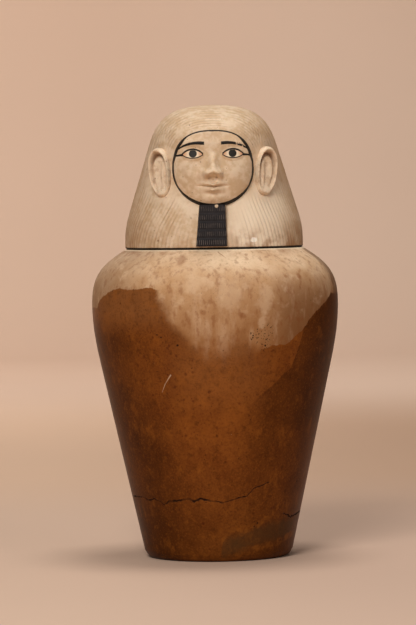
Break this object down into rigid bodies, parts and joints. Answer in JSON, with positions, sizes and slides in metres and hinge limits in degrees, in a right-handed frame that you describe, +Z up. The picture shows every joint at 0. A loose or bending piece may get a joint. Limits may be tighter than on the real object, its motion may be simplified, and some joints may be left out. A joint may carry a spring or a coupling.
{
  "type": "canopic jar",
  "caption": "Tall tapering travertine jar with a broad shoulder, closed by a lid carved as a head in a long striated wig with a false beard.",
  "frame": {"origin": "centre of the jar's underside, on the surface it stands on", "axes": "+Z up along the jar's axis; the face looks along -Y; +X is to the right as seen from the front"},
  "size_m": [0.2074, 0.2074, 0.38],
  "materials": {
    "amber_travertine": "polished, pale on the shoulder and deep amber brown below",
    "pale_travertine": "smooth worn stone with black paint on brows, eyes, chin strap and beard"
  },
  "bodies": {
    "root": {"jar": "amber_travertine", "lid": "pale_travertine"}
  },
  "joints": []
}
